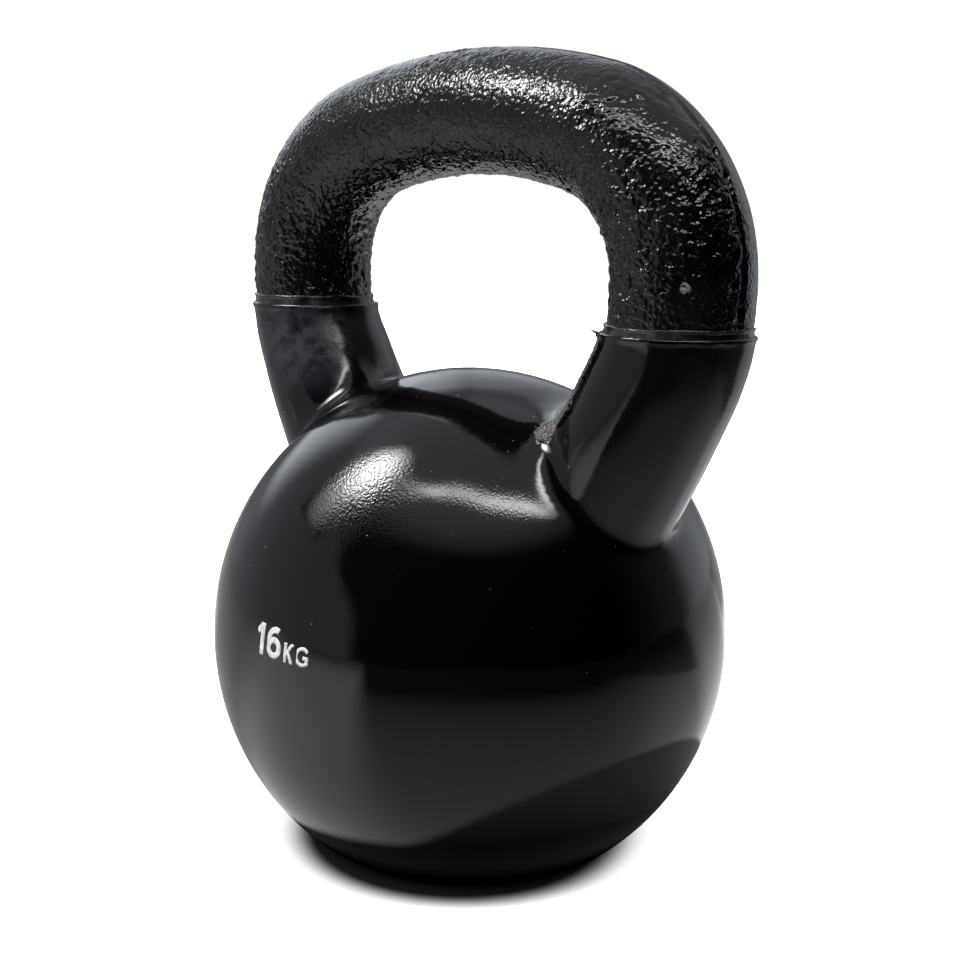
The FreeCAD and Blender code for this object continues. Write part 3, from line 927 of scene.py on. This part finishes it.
def make_floor():
    """The white floor that the camera sees, with a painted contact shadow under the object, and its own soft
    lights from above and from the back right.
    """
    material, s, shader = new_material("floor_white_painted_shadow")
    # Painted contact shadow: the floor's colour falls to nearly black in a soft disc under the object.
    under = s.near((3.0, -7.4, 0.0), 50.5, 5.5)
    s.feed(shader, {"Base Color": s.mix(under, (0.9, 0.9, 0.9, 1.0), (0.01, 0.01, 0.01, 1.0)),
                    "Roughness": 0.9, "Specular IOR Level": 0.0})
    floor = flat_sheet("floor", 0.0, FLOOR_HALF, material)
    only_seen_by(floor, camera=True)
    lit = bpy.data.collections.new("lit_floor")
    lit.objects.link(floor)
    for light in (add_sun("floor_top", 112.0, 72.0, 112.0, 5.2), add_sun("floor_back", 130.0, 60.0, 50.0, 3.0)):
        light.light_linking.receiver_collection = lit


def make_camera():
    data = bpy.data.cameras.new("camera")
    data.lens = CAMERA_LENS
    data.sensor_width = 36.0
    data.clip_start = 0.01
    camera = add_object("camera", data)
    look = (CAMERA_AIM - CAMERA_PLACE).normalized()
    level = look.to_track_quat("-Z", "Y")
    camera.rotation_mode = "QUATERNION"
    camera.rotation_quaternion = level @ Matrix.Rotation(CAMERA_ROLL, 3, "Z").to_quaternion()
    camera.location = CAMERA_PLACE
    bpy.context.scene.camera = camera


def weighted(s, x, y, share_x, share_y):
    """share_x * x + share_y * y."""
    return s.plus(s.times(x, share_x), s.times(y, share_y))


def make_world():
    """What a light tent with its front open shows in the gloss: pale sides, back and roof, dark ahead."""
    world = bpy.data.worlds.new("tent")
    bpy.context.scene.world = world
    world.cycles_visibility.camera = False
    world.cycles_visibility.diffuse = False
    background = only_glows(world, "ShaderNodeBackground", "ShaderNodeOutputWorld")
    s = Shading(world, "Generated")
    x, y, height = s.axes()
    ahead, right = direction(CAMERA_TURN, 0.0).tolist(), direction(CAMERA_TURN + 90.0, 0.0).tolist()
    turn = s.math("ARCTAN2", weighted(s, x, y, *right[:2]), weighted(s, x, y, *ahead[:2]))
    leaning = s.plus(turn, s.ramp(height, 0.15, 0.60, 0.0, 0.40))
    made = {}
    for _, bounds in TENT_GLOW:
        for bound in bounds:
            on, middle, softness = bound
            if on == "height":
                made[bound] = made.get(bound) or s.ramp(height, middle - softness, middle + softness)
            else:
                value = leaning if on == "leaning" else turn
                made[bound] = made.get(bound) or s.turn_ramp(value, middle - softness, middle + softness)
    total = s.plus(*(s.times(*(made[bound] for bound in bounds), strength) for strength, bounds in TENT_GLOW))
    s.feed(background, {"Strength": total, "Color": (0.88, 0.93, 1.0, 1.0)})


def dim_floor(s, x, y, turn, far):
    """The floor's glow ahead and on the right: dim, with a band at the back right."""
    near_level = s.ramp(far, 0.02, 0.44, 0.54, 0.0)
    right_back = s.plus(s.times(s.turn_ramp(turn, 85.0, 125.0, 0.0, 0.24), s.ramp(far, 0.25, 0.8, 1.0, 0.3)),
                        s.turn_ramp(turn, 138.0, 156.0, 0.0, 0.45))
    edge_side = s.turn_ramp(turn, 150.0, 142.0)
    edge_front = s.ramp(weighted(s, x, y, 0.366, 1.0), 0.262, 0.282)
    beyond = s.times(edge_side, edge_front)
    return s.times(s.plus(near_level, right_back), s.ramp(beyond, 0.0, 1.0, 1.0, 0.45))


def bright_floor(s, turn, far):
    """The floor's glow on the left."""
    left_turn = s.turn_ramp(turn, -64.0, -40.0, 0.50, 1.12)
    left_near = s.ramp(far, 0.07, 0.17, 0.72, 1.0)
    side_end = s.turn_ramp(turn, -50.0, -30.0, 0.72, 0.25)
    left_far = s.mix(s.ramp(far, 0.30, 1.0), 1.0, side_end, "FLOAT")
    left_back = s.times(s.turn_ramp(turn, -88.0, -112.0, 0.0, 1.2), s.ramp(far, 0.40, 0.26))
    return s.plus(s.times(left_turn, left_near, left_far), left_back)


def floor_glow():
    """How the lit floor looks in the gloss, painted as a glow: bright on the left, dim ahead, with a painted
    shadow of the ball and a painted dark ring round its foot.
    """
    material = bpy.data.materials.new("floor_in_gloss")
    glow = only_glows(material, "ShaderNodeEmission", "ShaderNodeOutputMaterial")
    s = Shading(material)
    x, y, _ = s.axes()
    far = s.vector("LENGTH", "Value", s.place)
    turn = s.math("ARCTAN2", x, s.times(y, -1.0))
    on_left = s.ramp(x, 0.042, -0.004)
    lit = s.mix(on_left, dim_floor(s, x, y, turn, far), bright_floor(s, turn, far), "FLOAT")
    # Painted shadows in the glow: the ball's own shadow towards the back right, and a dark ring round its foot
    # where it stands.
    in_painted_shadow = s.near((38.0, 20.0, 0.0), 80.0, 3.0)
    shaded = s.mix(in_painted_shadow, lit, s.ramp(far, 0.05, 0.12, 0.0, 0.24), "FLOAT")
    contact = s.math("SUBTRACT", 1.0, s.near((7.0, -2.0, 0.0), 61.5, 3.0))
    least = s.ramp(far, 0.050, 0.058, 0.0, 0.035)
    s.feed(glow, {"Strength": s.largest(s.times(shaded, contact), least), "Color": (0.96, 0.97, 1.0, 1.0)})
    return material


def make_tent():
    """What only the reflections see of the floor, and the white that only the camera sees behind the object."""
    only_seen_by(flat_sheet("reflected_floor", GLOSS_FLOOR_Z, GLOSS_FLOOR_HALF, floor_glow()), glossy=True)
    bm = bmesh.new()
    bmesh.ops.create_icosphere(bm, subdivisions=3, radius=TENT_RADIUS * MM)
    mesh = bpy.data.meshes.new("backdrop")
    bm.to_mesh(mesh)
    bm.free()
    backdrop = add_object("backdrop", mesh)
    mesh.materials.append(emission_material("backdrop_white", 1.05))
    only_seen_by(backdrop, camera=True)


def make_lamp(name, stops):
    """A level lamp overhead with soft edges, seen only in the gloss."""
    stops = np.array(stops)
    along = np.linspace(0.0, len(stops) - 1.0, 5 * len(stops))
    x, y, widths, strengths = (np.interp(along, np.arange(len(stops)), column) for column in stops.T)
    spine = np.stack([x, y], axis=1)
    run = np.gradient(spine, axis=0)
    side = np.stack([-run[:, 1], run[:, 0]], axis=1) / np.linalg.norm(run, axis=1)[:, None]
    points, glow = [], []
    for place, way, width, strength in zip(spine, side, widths, strengths):
        for share in np.linspace(-1.0, 1.0, LAMP_COLUMNS):
            points.append((*(place + way * width * share), LAMP_HEIGHT))
            glow.append(strength * (1.0 - share ** 2) ** 2)
    faces = []
    for row in range(0, len(points) - LAMP_COLUMNS, LAMP_COLUMNS):
        for corner in range(row, row + LAMP_COLUMNS - 1):
            faces.append((corner, corner + 1, corner + LAMP_COLUMNS + 1, corner + LAMP_COLUMNS))
    lamp = new_object(name, np.array(points), faces)
    lamp.data.attributes.new("glow", "FLOAT", "POINT").data.foreach_set("value", glow)
    lamp.data.materials.append(emission_material(name + "_glow", "glow"))
    only_seen_by(lamp, glossy=True)


# ---------------------------------------------------------------- put it together
make_camera()
make_world()
make_floor()
make_tent()
make_lamp("bright_lamp", BRIGHT_LAMP)
make_lamp("strip_lamp", STRIP_LAMP)
# A soft lamp for the ink, dust and bare iron.
add_sun("key", -25.0, 40.0, 40.0, 4.0)

keep_piece(build_casting(), "iron_casting", painted_iron())
keep_piece(build_coating(), "vinyl_coating", black_vinyl())
film = vinyl_film()
keep_piece(build_film(-1, "left_edge_film"), "left_edge_film", film)
keep_piece(build_film(1, "right_edge_film"), "right_edge_film", film)
keep_piece(build_mark(), "weight_mark", white_ink())

bpy.context.scene.view_settings.view_transform = "Standard"
